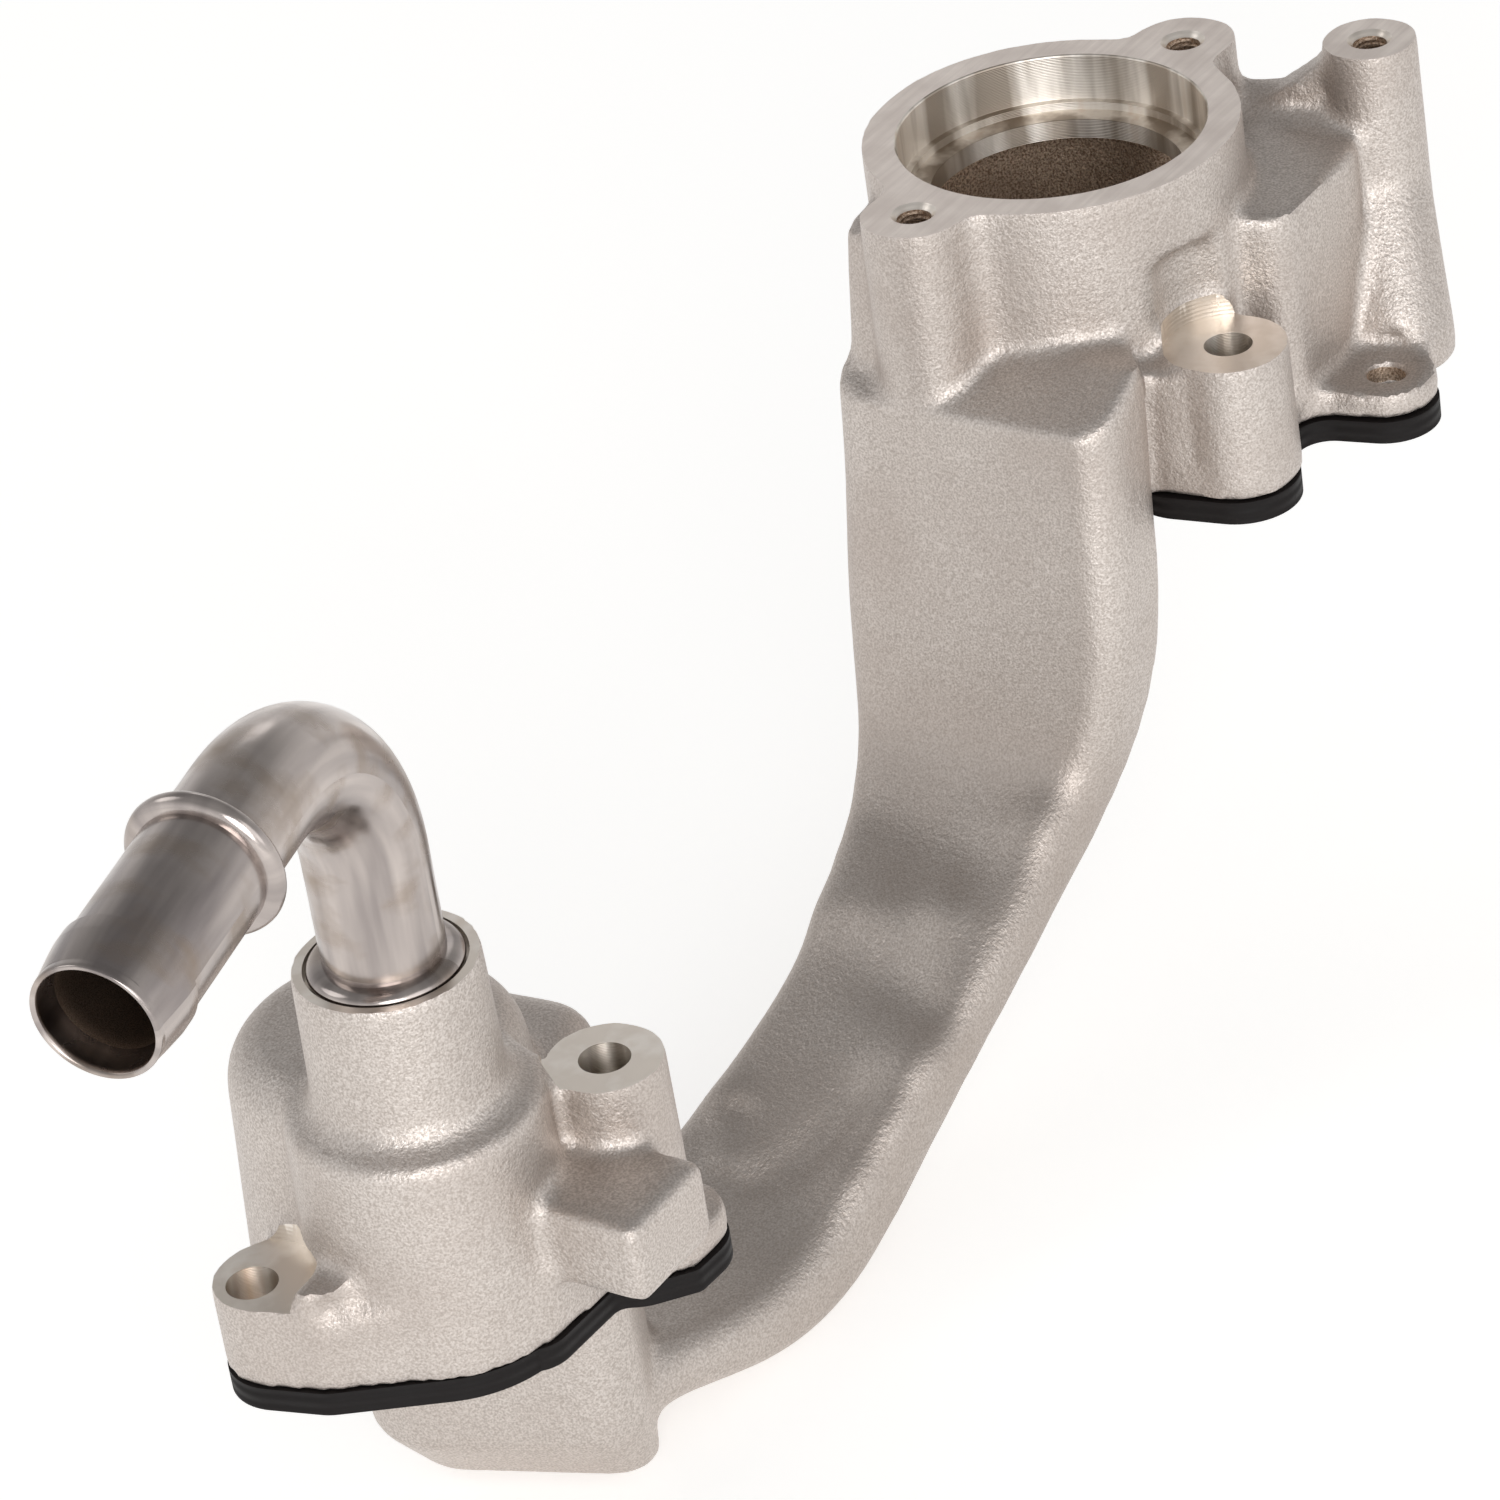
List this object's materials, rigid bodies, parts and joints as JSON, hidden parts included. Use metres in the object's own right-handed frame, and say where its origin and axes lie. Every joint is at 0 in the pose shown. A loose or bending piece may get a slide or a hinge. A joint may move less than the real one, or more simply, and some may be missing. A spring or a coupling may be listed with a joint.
{
  "type": "coolant outlet housing",
  "caption": "Cast aluminium coolant housing with a machined valve bore, a flat bent duct to a capped low port, black port gaskets and a bent bright heater tube.",
  "frame": {"origin": "centre of the valve bore, in the plane of its machined deck", "axes": "+Z along the valve bore, out of its mouth and away from the engine; +X across the engine, from the low port to the high one; +Y completes the right hand, along the engine"},
  "size_m": [0.3521, 0.0994, 0.1851],
  "materials": {
    "cast_aluminium": "sand cast, with milled and bored faces",
    "gasket_rubber": "moulded, satin",
    "bright_tube": "drawn, bright"
  },
  "bodies": {
    "root": {"housing": "cast_aluminium", "upper_gasket": "gasket_rubber", "lower_gasket": "gasket_rubber", "heater_tube": "bright_tube"}
  },
  "joints": []
}
